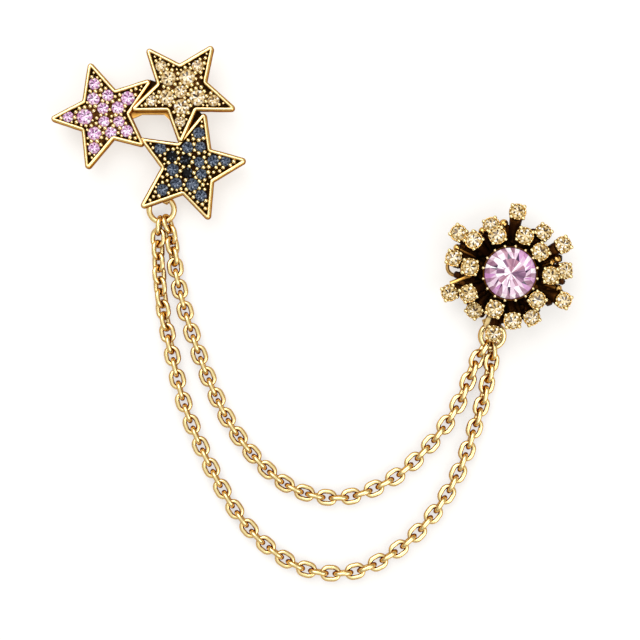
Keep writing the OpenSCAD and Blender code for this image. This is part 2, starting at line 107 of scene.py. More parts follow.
# Star stones: (across, up, radius) as shares of STAR_REACH
PINK_TABLE = [
    (-0.19, 0.59, 0.11), (-0.21, 0.31, 0.12), (0.06, 0.37, 0.11), (0.44, 0.32, 0.13),
    (-0.69, -0.03, 0.105), (-0.38, -0.03, 0.15), (-0.03, 0.13, 0.11), (0.25, 0.14, 0.12),
    (-0.01, -0.12, 0.105), (0.27, -0.12, 0.105), (-0.19, -0.35, 0.13), (0.12, -0.33, 0.11),
    (0.42, -0.30, 0.115), (-0.20, -0.62, 0.11),
]
CHAMPAGNE_TABLE = [
    (-0.38, 0.47, 0.105), (0.31, 0.47, 0.11), (-0.24, 0.24, 0.14), (0.11, 0.26, 0.15),
    (-0.56, -0.18, 0.105), (-0.28, -0.12, 0.14), (-0.01, -0.01, 0.12), (0.31, -0.13, 0.15),
    (0.61, -0.18, 0.11), (0.01, -0.30, 0.145), (-0.02, -0.58, 0.10),
]
NAVY_TABLE = [
    (0.19, 0.65, 0.11), (-0.02, 0.38, 0.11), (0.22, 0.39, 0.10), (-0.54, 0.36, 0.11),
    (-0.32, 0.21, 0.11), (-0.06, 0.14, 0.105), (0.20, 0.10, 0.10), (0.46, 0.13, 0.11),
    (0.69, 0.12, 0.095), (-0.30, -0.04, 0.115), (-0.03, -0.10, 0.105), (0.24, -0.12, 0.10),
    (-0.24, -0.30, 0.11), (0.07, -0.32, 0.12), (-0.50, -0.42, 0.11), (0.23, -0.53, 0.11),
]
# The nearly black ones among the navy stones
NAVY_BLACK = (4, 5, 10)

# Low webs between the stars: corners as shares of STAR_REACH
PINK_WEB = [(-0.16, 0.86), (0.05, 0.79), (-0.10, 0.50), (-0.52, 0.26)]
GAP_WEB = [
    (-0.60, 0.36), (0.28, 0.36), (0.26, 0.05), (0.20, 0.12), (0.11, 0.20), (-0.31, 0.20),
    (-0.40, 0.16), (-0.50, 0.12),
]
NAVY_WEB = [(0.70, 0.34), (0.85, 0.18), (0.42, -0.36), (0.38, -0.22)]
SOLDER_PLACE = (-0.29, -0.30)

# Burst stones: (direction in degrees, reach as a share of BURST_REACH, height of the
# stone's widest line, lean outwards in degrees, whether it is on the inner ring)
BURST_TABLE = [
    (82, 0.99, 6.8, 14, False),
    (109, 0.83, 5.2, 30, False),
    (108, 0.63, 7.9, 10, True),
    (141, 1.03, 6.0, 18, False),
    (137, 0.775, 7.6, 14, True),
    (68, 0.64, 7.7, 8, True),
    (50, 0.86, 6.0, 16, False),
    (35, 0.595, 7.9, 8, True),
    (28, 0.98, 6.4, 14, False),
    (164, 0.91, 6.0, 16, False),
    (171, 0.635, 7.8, 6, True),
    (357, 0.65, 8.2, 8, True),
    (3, 0.90, 6.0, 26, False),
    (198, 0.99, 6.0, 14, False),
    (206, 0.725, 7.6, 10, True),
    (227, 0.80, 5.6, 18, False),
    (247, 0.61, 7.9, 8, True),
    (316, 0.605, 7.7, 10, True),
    (334, 0.97, 6.2, 16, False),
    (298, 0.79, 5.6, 20, False),
    (274, 0.75, 7.2, 14, True),
    (256, 0.98, 5.8, 12, False),
]

# Rings: centres, radii of the wire's middle and the directions of their lugs
STAR_RING_CENTER = STAR_PLACE + STAR_REACH * Vector((0.043, -1.584, 0))
BURST_RING_CENTER = BURST_PLACE + BURST_REACH * Vector((-0.233, -0.991, 0))
STAR_RING_RADIUS = 2.42
BURST_RING_RADIUS = 2.25
STAR_LUG_DIRECTION = 64
BURST_LUG_DIRECTION = 113
LUG_INNER = 0.65
LUG_OUTER = 1.25
LUG_WIDTH = 1.3
LUG_Z = 2.25
CHAIN_Z = LINK_WIDTH / 2

# The strands' routes, as shares of the way from ring to ring and of each one's drop
OUTER_STRAND = {
    "hooks": (-100, -87),
    "drop": 68.1,
    "odd": 1,
    "route": [
        (-0.011, 0.113), (0.000, 0.248), (0.025, 0.370), (0.067, 0.530),
        (0.134, 0.680), (0.221, 0.822), (0.314, 0.919), (0.438, 0.987),
        (0.587, 0.992), (0.722, 0.928), (0.825, 0.832), (0.899, 0.719),
        (0.949, 0.593), (0.984, 0.479),
    ],
    "twist": [
        (0, 6), (0.034, 40), (0.05, 46), (0.07, 46), (0.1, 36), (0.135, 22),
        (0.2, 0), (0.85, 0), (0.97, 20), (1, 20),
    ],
    "paces": [
        (0, 0), (0.08, 0.082), (0.2, 0.2), (0.55, 0.549), (0.75, 0.7555),
        (0.88, 0.886), (1, 1),
    ],
}
INNER_STRAND = {
    "hooks": (-64, -124),
    "drop": 53.7,
    "odd": 0,
    "route": [
        (0.032, 0.125), (0.046, 0.237), (0.080, 0.389), (0.138, 0.579),
        (0.212, 0.754), (0.316, 0.902), (0.426, 0.983), (0.563, 1.000),
        (0.702, 0.934), (0.811, 0.819), (0.893, 0.687), (0.951, 0.530),
    ],
    "twist": [
        (0, -62), (0.02, -49), (0.041, -46), (0.061, -28), (0.082, -10),
        (0.1, 0), (0.85, 0), (0.97, 20), (1, 12),
    ],
    "paces": [(0, 0), (0.15, 0.143), (0.33, 0.322), (0.6, 0.58), (1, 1)],
}


def toward(angle, reach=1.0):
    """A flat vector of that length at an angle in degrees."""
    turn = math.radians(angle)
    return Vector((reach * math.cos(turn), reach * math.sin(turn), 0))


def heading(v):
    """The direction of a flat vector in degrees."""
    return math.degrees(math.atan2(v.y, v.x))


def turned(degrees, axis):
    return Matrix.Rotation(math.radians(degrees), 4, axis)


def moved(v):
    return Matrix.Translation(Vector(v))


def aimed(start, direction):
    """A place at start with its Z along direction."""
    return moved(start) @ direction.to_track_quat("Z", "Y").to_matrix().to_4x4()


def mix(a, b, t):
    return a + (b - a) * t


def lookup(x, table):
    """Straight-line reading of a table of (x, y) rows."""
    for (x0, y0), (x1, y1) in zip(table, table[1:]):
        if x <= x1:
            return mix(y0, y1, (x - x0) / (x1 - x0)) if x > x0 else y0
    return table[-1][1]


def smooth(low, high, x):
    """An eased step from 0 at low to 1 at high."""
    t = min(1.0, max(0.0, (x - low) / (high - low)))
    return t * t * (3 - 2 * t)


def colour(red, green, blue):
    """A display colour of 0 to 255 as the linear one that shaders and meshes hold."""
    return tuple(
        ((c / 255 + 0.055) / 1.055) ** 2.4 if c > 10 else c / 255 / 12.92
        for c in (red, green, blue)
    ) + (1.0,)


def palette(**kinds):
    """Colours by kind, each written as for colour."""
    return {kind: [colour(*tone) for tone in tones] for kind, tones in kinds.items()}


class Shape:
    """Corners with a value each of polish and painted shade, and faces with a tint each, in
    millimetres.
    """

    def __init__(self):
        self.points, self.polish, self.faces, self.tints = [], [], [], []

    def add(self, points, faces, polish=1.0, tints=None, place=None):
        first = len(self.points)
        place = place or Matrix()
        self.points += [place @ Vector(p) for p in points]
        self.polish += polish if isinstance(polish, list) else [polish] * len(points)
        self.faces += [[first + i for i in face] for face in faces]
        self.tints += tints or [(1, 1, 1, 1)] * len(faces)


def band(count, lower, upper):
    """Faces between two closed rows of corners, seen from outside."""
    return [
        [lower + i, lower + (i + 1) % count, upper + (i + 1) % count, upper + i]
        for i in range(count)
    ]


def tube_faces(rows, count):
    """Faces of a closed tube made of that many closed rows of corners."""
    return [
        [a + j, b + j, b + (j + 1) % count, a + (j + 1) % count]
        for a, b in ((i * count, (i + 1) % rows * count) for i in range(rows))
        for j in range(count)
    ]


def plate_faces(count):
    """Faces of a plate made of three closed rows of corners, from the bottom up."""
    faces = band(count, 0, count) + band(count, count, 2 * count)
    return faces + [[count - 1 - i for i in range(count)], [2 * count + i for i in range(count)]]


def revolve(shape, profile, place, steps):
    """A round solid about place's Z, from rows of (radius, height, polish and painted shade) that
    start and end on the axis."""
    points, polish, faces, rows = [], [], [], []
    for radius, height, shine in profile:
        rows.append(len(points))
        if radius == 0:
            points.append((0, 0, height))
            polish.append(shine)
            continue
        for i in range(steps):
            side = toward(360 * i / steps, radius)
            points.append((side.x, side.y, height))
            polish.append(shine)
    for k in range(len(rows) - 1):
        a, b = rows[k], rows[k + 1]
        if profile[k][0] == 0:
            faces += [[a, b + (i + 1) % steps, b + i] for i in range(steps)]
        elif profile[k + 1][0] == 0:
            faces += [[a + i, a + (i + 1) % steps, b] for i in range(steps)]
        else:
            faces += band(steps, a, b)
    shape.add(points, faces, polish, place=place)


def ring_of(shape, section, place, steps, polish_of):
    """A closed band about place's Z, from a closed section of (radius, height) rows."""
    points = []
    for i in range(steps):
        for radius, height in section:
            side = toward(360 * i / steps, radius)
            points.append(Vector((side.x, side.y, height)))
    polish = [polish_of(p) for p in points]
    shape.add(points, tube_faces(steps, len(section)), polish, place=place)


def ball(shape, place, radius, low_polish, top_polish, steps, rows):
    """A ball about place, with a painted highlight on top and painted shade below."""
    profile = []
    for k in range(rows + 1):
        angle = math.pi * (k / rows - 0.5)
        share = math.cos(angle) if 0 < k < rows else 0
        shine = mix(low_polish, top_polish, smooth(0.16, 0.6, k / rows))
        profile.append((radius * share, radius * math.sin(angle), shine))
    revolve(shape, profile, place, steps)


def bar(shape, start, end, start_r, end_r, start_polish, end_polish, sides=14):
    """A round bar that tapers from start to end, with softened ends; its level of polish and
    painted shade runs from the start's to the end's.
    """
    run = end - start
    revolve(
        shape,
        [
            (0, 0, start_polish),
            (start_r * 0.8, 0, start_polish),
            (start_r, SOFT_EDGE, start_polish),
            (mix(start_r, end_r, 0.5), run.length / 2, mix(start_polish, end_polish, 0.5)),
            (end_r, run.length - SOFT_EDGE, end_polish),
            (end_r * 0.8, run.length, end_polish),
            (0, run.length, end_polish),
        ],
        aimed(start, run),
        sides,
    )


LUMP_SCALE = 1.3
LUMP_STRAY = 0.35


def lump(shape, place, size, polish, seed):
    """An uneven blob of cast metal."""
    steps, rows = 10, 6
    points, faces = [], []
    for k in range(1, rows):
        for i in range(steps):
            across = math.pi * (k / rows - 0.5)
            side = toward(360 * i / steps, math.cos(across))
            p = Vector((side.x, side.y, math.sin(across)))
            stray = noise.noise(p * LUMP_SCALE + Vector((seed, 0, 0)))
            points.append(p * size * (1 + LUMP_STRAY * stray))
    for k in range(rows - 2):
        faces += band(steps, k * steps, (k + 1) * steps)
    faces.append([steps - 1 - i for i in range(steps)])
    faces.append([(rows - 2) * steps + i for i in range(steps)])
    shape.add(points, faces, polish, place=place)


SHARP_ANGLE = 38


def piece(name, shape, material, nodes, flat=False):
    """A finished mesh object that rides on the frame and stands for the given nodes."""
    mesh = bpy.data.meshes.new(name)
    mesh.from_pydata([p * MM for p in shape.points], [], shape.faces)
    mesh.attributes.new("polish", "FLOAT", "POINT").data.foreach_set("value", shape.polish)
    if flat:
        tint = mesh.color_attributes.new("tint", "FLOAT_COLOR", "CORNER")
        corner_tints = [c for face, t in zip(shape.faces, shape.tints) for _ in face for c in t]
        tint.data.foreach_set("color", corner_tints)
    mesh.polygons.foreach_set("use_smooth", [not flat] * len(mesh.polygons))
    if not flat:
        mesh.set_sharp_from_angle(angle=math.radians(SHARP_ANGLE))
    mesh.materials.append(material)
    mesh.update()
    made = bpy.data.objects.new(name, mesh)
    bpy.context.scene.collection.objects.link(made)
    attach(made, "root")
    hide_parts(*nodes)


def new_material(name):
    material = bpy.data.materials.new(name)
    material.use_nodes = True
    nodes, links = material.node_tree.nodes, material.node_tree.links
    nodes.clear()
    shader = nodes.new("ShaderNodeBsdfPrincipled")
    output = nodes.new("ShaderNodeOutputMaterial")
    links.new(shader.outputs[0], output.inputs["Surface"])
    return material, nodes, links, shader


def grain(nodes, links, scale, detail):
    """Noise fixed to the object's own coordinates, with scale in grains a metre."""
    where = nodes.new("ShaderNodeTexCoord")
    field = nodes.new("ShaderNodeTexNoise")
    field.inputs["Scale"].default_value = scale
    field.inputs["Detail"].default_value = detail
    links.new(where.outputs["Object"], field.inputs["Vector"])
    return field.outputs["Fac"]


def math_node(nodes, links, operation, a, b):
    made = nodes.new("ShaderNodeMath")
    made.operation = operation
    for socket, value in zip(made.inputs, (a, b)):
        if isinstance(value, (int, float)):
            socket.default_value = value
        else:
            links.new(value, socket)
    return made.outputs[0]


def map_range(nodes, links, value, to_low, to_high, from_low=0.0, from_high=1.0):
    made = nodes.new("ShaderNodeMapRange")
    limits = {"From Min": from_low, "From Max": from_high, "To Min": to_low, "To Max": to_high}
    for socket, limit in limits.items():
        made.inputs[socket].default_value = limit
    links.new(value, made.inputs["Value"])
    return made.outputs[0]


def ramp(nodes, links, factor, stops):
    made = nodes.new("ShaderNodeValToRGB")
    elements = made.color_ramp.elements
    elements[0].position, elements[0].color = stops[0]
    elements[1].position, elements[1].color = stops[-1]
    for position, tone in stops[1:-1]:
        elements.new(position).color = tone
    links.new(factor, made.inputs["Fac"])
    return made.outputs["Color"]


def bump(nodes, links, shader, height, distance, strength):
    made = nodes.new("ShaderNodeBump")
    made.inputs["Distance"].default_value = distance
    made.inputs["Strength"].default_value = strength
    links.new(height, made.inputs["Height"])
    links.new(made.outputs["Normal"], shader.inputs["Normal"])


def gold(name, stops, speckle, rough_low, rough_high, dent, edge, dark_metallic):
    """Worn gold with painted light: the mesh's value of polish and painted shade, broken up by
    grain, picks the tone, the gloss and how far the metal is clear of its dark patina and painted
    shade."""
    material, nodes, links, shader = new_material(name)
    polish_and_shade_attribute = nodes.new("ShaderNodeAttribute")
    polish_and_shade_attribute.attribute_name = "polish"
    coarse = grain(nodes, links, 900, 3)
    centred = math_node(nodes, links, "SUBTRACT", coarse, 0.5)
    spread = math_node(nodes, links, "MULTIPLY", centred, speckle)
    level = math_node(nodes, links, "ADD", polish_and_shade_attribute.outputs["Fac"], spread)
    links.new(ramp(nodes, links, level, stops), shader.inputs["Base Color"])
    rough = map_range(nodes, links, level, rough_high, rough_low)
    links.new(rough, shader.inputs["Roughness"])
    clean = map_range(nodes, links, level, dark_metallic, 1.0, from_high=0.4)
    links.new(clean, shader.inputs["Metallic"])
    shader.inputs["Specular Tint"].default_value = edge
    bump(nodes, links, shader, grain(nodes, links, 2600, 2), dent, 0.5)
    return material


def glass(name, rough, gloss, coat):
    """Cut glass: each facet's own tint, which holds painted reflections and shade, slightly
    clouded, under a hard gloss.
    """
    material, nodes, links, shader = new_material(name)
    tint = nodes.new("ShaderNodeAttribute")
    tint.attribute_name = "tint"
    cloud = grain(nodes, links, 1500, 2)
    shade = map_range(nodes, links, cloud, 0.93, 1.04, 0.3, 0.7)
    scaled = nodes.new("ShaderNodeVectorMath")
    scaled.operation = "SCALE"
    links.new(tint.outputs["Color"], scaled.inputs[0])
    links.new(shade, scaled.inputs["Scale"])
    links.new(scaled.outputs[0], shader.inputs["Base Color"])
    shader.inputs["Roughness"].default_value = rough
    shader.inputs["IOR"].default_value = 1.55
    shader.inputs["Specular IOR Level"].default_value = gloss
    shader.inputs["Coat Weight"].default_value = coat
    shader.inputs["Coat Roughness"].default_value = 0.02
    return material


# Tones of cast gold, from blackened patina, which also serves as painted shade, to pale gold,
# which also serves as a painted highlight
BLACK_PATINA_AND_SHADE = colour(8, 3, 1)
DARK_BROWN = colour(46, 22, 7)
BROWN = colour(122, 74, 26)
OLD_GOLD = colour(188, 138, 64)
BRIGHT_GOLD = colour(230, 188, 110)
PALE_GOLD = colour(250, 228, 170)

cast_gold = gold(
    "cast_gold",
    [(0.0, BLACK_PATINA_AND_SHADE), (0.2, DARK_BROWN), (0.4, BROWN), (0.6, OLD_GOLD), (0.85, BRIGHT_GOLD),
     (1.0, PALE_GOLD)],
    speckle=0.25, rough_low=0.2, rough_high=0.5, dent=0.00003, edge=colour(140, 92, 40),
    dark_metallic=0.1,
)
# The chain's dark tones are painted shade down the wires' sides and in the links' bends; its
# palest is a painted highlight on their tops
chain_gold = gold(
    "chain_gold",
    [(0.0, colour(104, 52, 6)), (0.25, colour(178, 114, 34)), (0.55, colour(228, 178, 92)),
     (0.85, colour(242, 204, 128)), (1.0, colour(252, 228, 164))],
    speckle=0.12, rough_low=0.22, rough_high=0.36, dent=0.00001, edge=colour(190, 130, 60),
    dark_metallic=0.95,
)
pink_glass = glass("pink_glass", rough=0.05, gloss=0.5, coat=0.1)
champagne_glass = glass("champagne_glass", rough=0.05, gloss=0.5, coat=0.1)
navy_glass = glass("navy_glass", rough=0.08, gloss=0.12, coat=0.0)

# Facet tints by kind: pale ones are painted reflections and glints, dark ones painted shade, over
# each stone's own colour
PINK_TONES = palette(
    pale=[(253, 248, 252), (243, 227, 240), (232, 202, 228)],
    mid=[(204, 151, 199), (188, 129, 181), (218, 178, 213)],
    dark=[(126, 72, 116), (100, 54, 92), (78, 40, 70)],
)
CHAMPAGNE_TONES = palette(
    pale=[(254, 251, 240), (242, 229, 196), (229, 208, 162)],
    mid=[(204, 175, 120), (180, 147, 90), (214, 189, 141)],
    dark=[(124, 90, 40), (86, 58, 22), (50, 30, 10)],
)
BURST_TONES = palette(
    pale=[(255, 252, 243), (246, 234, 203), (234, 214, 167)],
    mid=[(196, 164, 100), (168, 134, 68), (208, 180, 122)],
    dark=[(104, 72, 24), (70, 45, 12), (38, 21, 5)],
)
NAVY_TONES = palette(
    pale=[(142, 152, 166), (104, 114, 130), (88, 98, 114)],
    mid=[(60, 70, 88), (46, 56, 72), (76, 86, 102)],
    dark=[(28, 36, 50), (18, 24, 34)],
)
BLACK_TONES = palette(
    pale=[(84, 92, 106), (20, 22, 28), (12, 14, 18)],
    mid=[(8, 9, 12), (5, 6, 8)],
    dark=[(2, 2, 3)],
)
CENTER_TONES = palette(
    pale=[(255, 246, 251), (242, 222, 234), (220, 192, 210)],
    lilac=[(208, 152, 200), (196, 134, 188), (216, 170, 208)],
    mid=[(162, 118, 142), (146, 102, 126), (178, 136, 158)],
    rose=[(166, 114, 134), (146, 98, 122), (186, 140, 160)],
    deep=[(122, 80, 112), (102, 66, 96), (150, 108, 138)],
    dark=[(72, 42, 76), (56, 32, 62)],
)


# A small stone's sides, and the places of its corners in shares of its radius
SMALL_SIDES = 12
HEART_REACH = 0.3
TABLE_REACH = 0.58
TABLE_RISE = 0.36
HEART_RISE = TABLE_RISE + 0.003
MIDDLE_RISE = TABLE_RISE + 0.004
KITE_REACH = 0.81
KITE_RISE = 0.2
EDGE_DROP = 0.08
BACK_DROP = 0.72
# Half the spread of its side of darker painted reflection in degrees, in the middle and at the
# girdle,
# # and how many of the rays there are dark
REFLECTION_DARK_HALF = 72
REFLECTION_DARK_RIM_HALF = 110
DARK_RAYS = 0.6


def apart(a, b):
    """The smallest angle between two directions in degrees."""
    return abs((a - b + 180) % 360 - 180)


def gem_row(points, reach, rise, count, shift, spin):
    """A row of a stone's corners. Returns the first one's number."""
    first = len(points)
    for i in range(count):
        side = toward(360 * (i + shift) / count + spin, reach)
        points.append((side.x, side.y, rise))
    return first


def brilliant(shape, place, radius, tones, rng, reflection_dark_side):
    """A small round stone whose facet tints are painted reflections: pale rays and darker wedges
    seen through the table, darker on the given side, star facets, kites, girdle facets and a
    pointed back."""
    points, faces, tints = [], [], []
    spin = rng.random() * 360
    sides = SMALL_SIDES

    def face(corners, kinds):
        faces.append(corners)
        tints.append(rng.choice(tones[rng.choice(kinds)]))

    points.append((0, 0, MIDDLE_RISE * radius))
    heart = gem_row(points, HEART_REACH * radius, HEART_RISE * radius, sides, 0.25, spin)
    table = gem_row(points, TABLE_REACH * radius, TABLE_RISE * radius, sides, 0, spin)
    kites = gem_row(points, KITE_REACH * radius, KITE_RISE * radius, sides, 0.5, spin)
    rim = gem_row(points, radius, 0, 2 * sides, 0, spin)
    edge = gem_row(points, radius, -EDGE_DROP * radius, 2 * sides, 0, spin)
    points.append((0, 0, -BACK_DROP * radius))
    tip = len(points) - 1
    for i in range(sides):
        n = (i + 1) % sides
        off = apart(360 * (i + 0.5) / sides + spin, reflection_dark_side)
        shaded = off < REFLECTION_DARK_HALF
        if i % 2:
            inner, star, kite = ("pale",), ("mid",), ("pale",)
            outer = ("mid",) if shaded else ("pale",)
        else:
            inner, star, kite = ("mid",), ("dark",), ("mid",)
            outer = ("dark",) if shaded else ("mid", "mid", "dark")
        if shaded and rng.random() < DARK_RAYS:
            inner = ("dark",)
        face([0, heart + i, heart + n], inner)
        face([heart + i, table + i, table + n], outer)
        face([heart + i, table + n, heart + n], inner)
        face([table + i, kites + i, table + n], star)
        face([table + n, kites + i, rim + 2 * n, kites + n], kite)
        rim_kinds = ("dark", "mid") if off < REFLECTION_DARK_RIM_HALF else ("mid",)
        face([kites + i, rim + 2 * i, rim + 2 * i + 1], rim_kinds)
        face([kites + i, rim + 2 * i + 1, rim + 2 * n], ("mid", "pale"))
    for i in range(2 * sides):
        n = (i + 1) % (2 * sides)
        face([rim + i, edge + i, edge + n, rim + n], ("mid",))
        face([edge + n, edge + i, tip], ("dark",))
    shape.add(points, faces, 1.0, tints, place)


# The big stone: its rows of corners as (reach, rise, stray), reach and rise in shares of
# its radius and stray in degrees, from the middle of the table down to the girdle
LARGE_ROWS = [(0.26, 0.321, 4), (0.56, 0.32, 4), (0.82, 0.2, 3.4), (1, 0, 0), (1, -EDGE_DROP, 0)]
LARGE_MIDDLE_RISE = 0.3215
LARGE_WEDGES = 32
# How far out of place a corner may lie for each degree of stray, as a share of its reach
REACH_STRAY = 0.014
# Painted reflections that shine through its table: (middle direction, half the spread, tone)
TABLE_SHINE = [
    (-62, 9, "rose"), (-34, 9, "deep"), (-2, 20, "deep"), (30, 8, "rose"), (84, 24, "rose"),
    (120, 7, "deep"), (168, 14, "deep"), (214, 8, "rose"), (250, 7, "deep"),
]
# Directions of the small facets round the table that are painted dark, as painted reflection
DARK_FACETS = (11, 61, 96, 150, 167, 204, 230, 267, 324)
# The side of the stone where the long facets are painted lilac, as painted reflection, and half
# its spread
LILAC_SIDE = 42
LILAC_HALF = 34


def uneven_row(points, reach, rise, stray, rng):
    """A row of the big stone's corners, none quite in its place. Returns the first one's
    number."""
    first = len(points)
    for i in range(LARGE_WEDGES):
        out = reach * (1 + REACH_STRAY * rng.uniform(-stray, stray))
        side = toward(360 * i / LARGE_WEDGES + rng.uniform(-stray, stray), out)
        points.append((side.x, side.y, rise))
    return first


def large_brilliant(shape, place, radius, rng):
    """The big stone, its long facets pale and coloured in turn as painted reflections."""
    points, faces, tints = [(0, 0, LARGE_MIDDLE_RISE * radius)], [], []
    count = LARGE_WEDGES
    cut = random.Random(22)
    heart, table, middle, rim, edge = (
        uneven_row(points, reach * radius, rise * radius, stray, cut)
        for reach, rise, stray in LARGE_ROWS
    )
    points.append((0, 0, -BACK_DROP * radius))
    tip = len(points) - 1

    def face(corners, kind):
        faces.append(corners)
        tints.append(rng.choice(CENTER_TONES[kind]))

    for i in range(count):
        n = (i + 1) % count
        at = 360 * (i + 0.5) / count
        shine = next((tone for spot, half, tone in TABLE_SHINE if apart(at, spot) < half), "pale")
        long = rng.choice(("mid", "mid", "rose") if i % 2 else ("pale", "pale", "pale", "lilac"))
        if apart(at, LILAC_SIDE) < LILAC_HALF:
            long = "lilac" if i % 3 else "pale"
        is_dark = any(apart(at, spot) <= 180 / count for spot in DARK_FACETS)
        face([0, heart + i, heart + n], "pale" if shine == "deep" and 90 < at < 270 else shine)
        face([heart + i, table + i, table + n], shine)
        ray = rng.choice((shine, "pale", "mid")) if shine == "pale" else shine
        face([heart + i, table + n, heart + n], ray)
        face([table + i, middle + i, middle + n], long)
        face([table + i, middle + n, table + n], "dark" if is_dark else "pale")
        face([middle + i, rim + i, rim + n], long)
        face([middle + i, rim + n, middle + n], long)
        face([rim + i, edge + i, edge + n, rim + n], "mid")
        face([edge + n, edge + i, tip], "deep")
    shape.add(points, faces, 1.0, tints, place)


# Star rims: how round the points and notches are, into how many steps arcs and sides are
# divided, and how uneven the casting is
POINT_ROUND = 0.2
NOTCH_ROUND = 0.5
LEAST_ROUND = 0.06
ARC_STEPS = 3
SIDE_STEPS = 6
WOBBLE = 0.035
WOBBLE_SCALE = 0.9
STRAY_APART = 17.3


def corners_of(outline):
    found = []
    for tip_at, tip_reach, notch_at, notch_reach in outline:
        found.append(toward(tip_at, STAR_REACH * tip_reach))
        found.append(toward(notch_at, STAR_REACH * notch_reach))
    return found


def grown(corners, distance):
    """A closed outline moved outwards."""
    made = []
    for i, corner in enumerate(corners):
        before = (corner - corners[i - 1]).normalized()
        after = (corners[(i + 1) % len(corners)] - corner).normalized()
        out_before = Vector((before.y, -before.x, 0))
        out_after = Vector((after.y, -after.x, 0))
        made.append(corner + distance * (out_before + out_after) / (1 + out_before.dot(out_after)))
    return made


def rounded(corners, tip_radius, notch_radius):
    """The outline with its points and notches rounded and its sides divided, with the
    same number of corners whatever the radii are."""
    arcs = []
    for i, corner in enumerate(corners):
        back = (corners[i - 1] - corner).normalized()
        ahead = (corners[(i + 1) % len(corners)] - corner).normalized()
        half = math.degrees(math.acos(max(-1, min(1, back.dot(ahead))))) / 2
        is_tip = i % 2 == 0
        radius = tip_radius if is_tip else notch_radius
        middle = corner + (back + ahead).normalized() * radius / math.sin(math.radians(half))
        face = heading(-(back + ahead))
        turn = (90 - half) if is_tip else (half - 90)
        steps = range(-ARC_STEPS, ARC_STEPS + 1)
        arcs.append([middle + toward(face + turn * s / ARC_STEPS, radius) for s in steps])
    made = []
    for i, arc in enumerate(arcs):
        follow = arcs[(i + 1) % len(arcs)][0]
        made += arc
        made += [arc[-1].lerp(follow, s / (SIDE_STEPS + 1)) for s in range(1, SIDE_STEPS + 1)]
    return made


def star_outline(outline, distance):
    return rounded(
        grown(corners_of(outline), distance),
        max(LEAST_ROUND, POINT_ROUND + distance),
        max(LEAST_ROUND, NOTCH_ROUND - distance),
    )


# The rim's section: (distance outside the ridge, height, polish and painted shade). The dark inner
# # wall is patina; the bright ridge is a painted highlight and the darker shoulders and outer wall
# are painted shade.
RIM_SECTION = [
    (0.24, 0.0, 0.6), (0.37, 0.08, 0.66), (0.43, 0.3, 0.74), (0.43, 1.3, 0.64),
    (0.40, 1.62, 0.6), (0.34, 1.86, 0.64), (0.24, 2.04, 0.78), (0.1, 2.14, 0.96),
    (-0.08, 2.16, 1.02), (-0.22, 2.1, 0.82), (-0.31, 1.95, 0.4), (-0.36, 1.75, 0.08),
    (-0.40, 1.6, 0.0),
]
SHOWN_FLOOR = STAR_FLOOR - 0.02
FLOOR_RINGS = (0.8, 0.6, 0.4, 0.2)


def star_spot(center, height):
    """The point over a star's centre at that height."""
    return STAR_PLACE + Vector((*center, 0)) * STAR_REACH + UP * height


def stray_at(p):
    """A smooth random vector at a point, the same in every run."""
    return Vector([noise.noise(p + Vector((STRAY_APART * k, 0, 0))) for k in range(3)])


def star_body(shape, center, outline, lift, floor_polish):
    """A star's rim, floor and flat back, a little uneven as cast."""
    points, polish, faces = [], [], []
    for distance, height, shine in RIM_SECTION:
        for p in star_outline(outline, distance):
            seed = Vector((center[0] * 7, 0, height))
            stray = stray_at(p * WOBBLE_SCALE + seed) * WOBBLE
            rise = height + (stray.z / 2 if height > 0.1 else 0)
            points.append(p + Vector((stray.x, stray.y, rise)))
            polish.append(shine)
    count = len(points) // len(RIM_SECTION)
    for k in range(len(RIM_SECTION) - 1):
        faces += band(count, k * count, (k + 1) * count)
    last = (len(RIM_SECTION) - 1) * count
    edge = points[last:]
    for share in FLOOR_RINGS:
        points += [Vector((p.x * share, p.y * share, SHOWN_FLOOR)) for p in edge]
        polish += [floor_polish] * count
        faces += band(count, last, last + count)
        last += count
    points.append(Vector((0, 0, SHOWN_FLOOR)))
    polish.append(floor_polish)
    faces += [[last + i, last + (i + 1) % count, len(points) - 1] for i in range(count)]
    points.append(Vector((0, 0, 0)))
    polish.append(0.5)
    faces += [[(i + 1) % count, i, len(points) - 1] for i in range(count)]
    shape.add(points, faces, polish, place=moved(star_spot(center, BACK_HEIGHT + lift)))


# Grain beads, large ones first: (radius, how far inside the ridge they keep)
BEAD_SIZES = [(0.42, 0.66), (0.3, 0.52)]
# The space between two beads, the step at which places are tried and the share of a
# bead's radius that its middle keeps from a stone
BEAD_GAP = 0.08
BEAD_STEP = 0.11
BEAD_CLEAR = 0.55
# Ranges of a bead's height over the floor and of its size beside the radius above
BEAD_RISE = (0.26, 0.36)
BEAD_SPREAD = (0.84, 1.08)


def inside(p, outline):
    """Whether a flat point lies inside a closed outline."""
    hit = False
    for a, b in zip(outline, outline[1:] + outline[:1]):
        if (a.y > p.y) != (b.y > p.y) and p.x < a.x + (p.y - a.y) / (b.y - a.y) * (b.x - a.x):
            hit = not hit
    return hit


def bead_places(outline, stones):
    """Where the grain beads stand, as (place, radius): first in the tightest corners
    between the stones and the rim, then wherever one more fits."""
    discs = [(Vector((x, y, 0)) * STAR_REACH, r * STAR_REACH) for x, y, r in stones]
    steps = int(STAR_REACH * 1.2 / BEAD_STEP)
    kept = []
    for radius, inset in BEAD_SIZES:
        edge = grown(corners_of(outline), -inset)
        found = []
        for i in range(-steps, steps + 1):
            for j in range(-steps, steps + 1):
                p = Vector((i * BEAD_STEP, j * BEAD_STEP, 0))
                if not inside(p, edge):
                    continue
                clear = sorted((p - c).length - r for c, r in discs)
                if clear[0] > radius * BEAD_CLEAR:
                    found.append((clear[0] + clear[1] + 0.3 * clear[2], p))
        found.sort(key=lambda row: (round(row[0], 3), row[1].x, row[1].y))
        for _, p in found:
            if all((p - q).length > radius + other + BEAD_GAP for q, other in kept):
                kept.append((p, radius))
    return kept


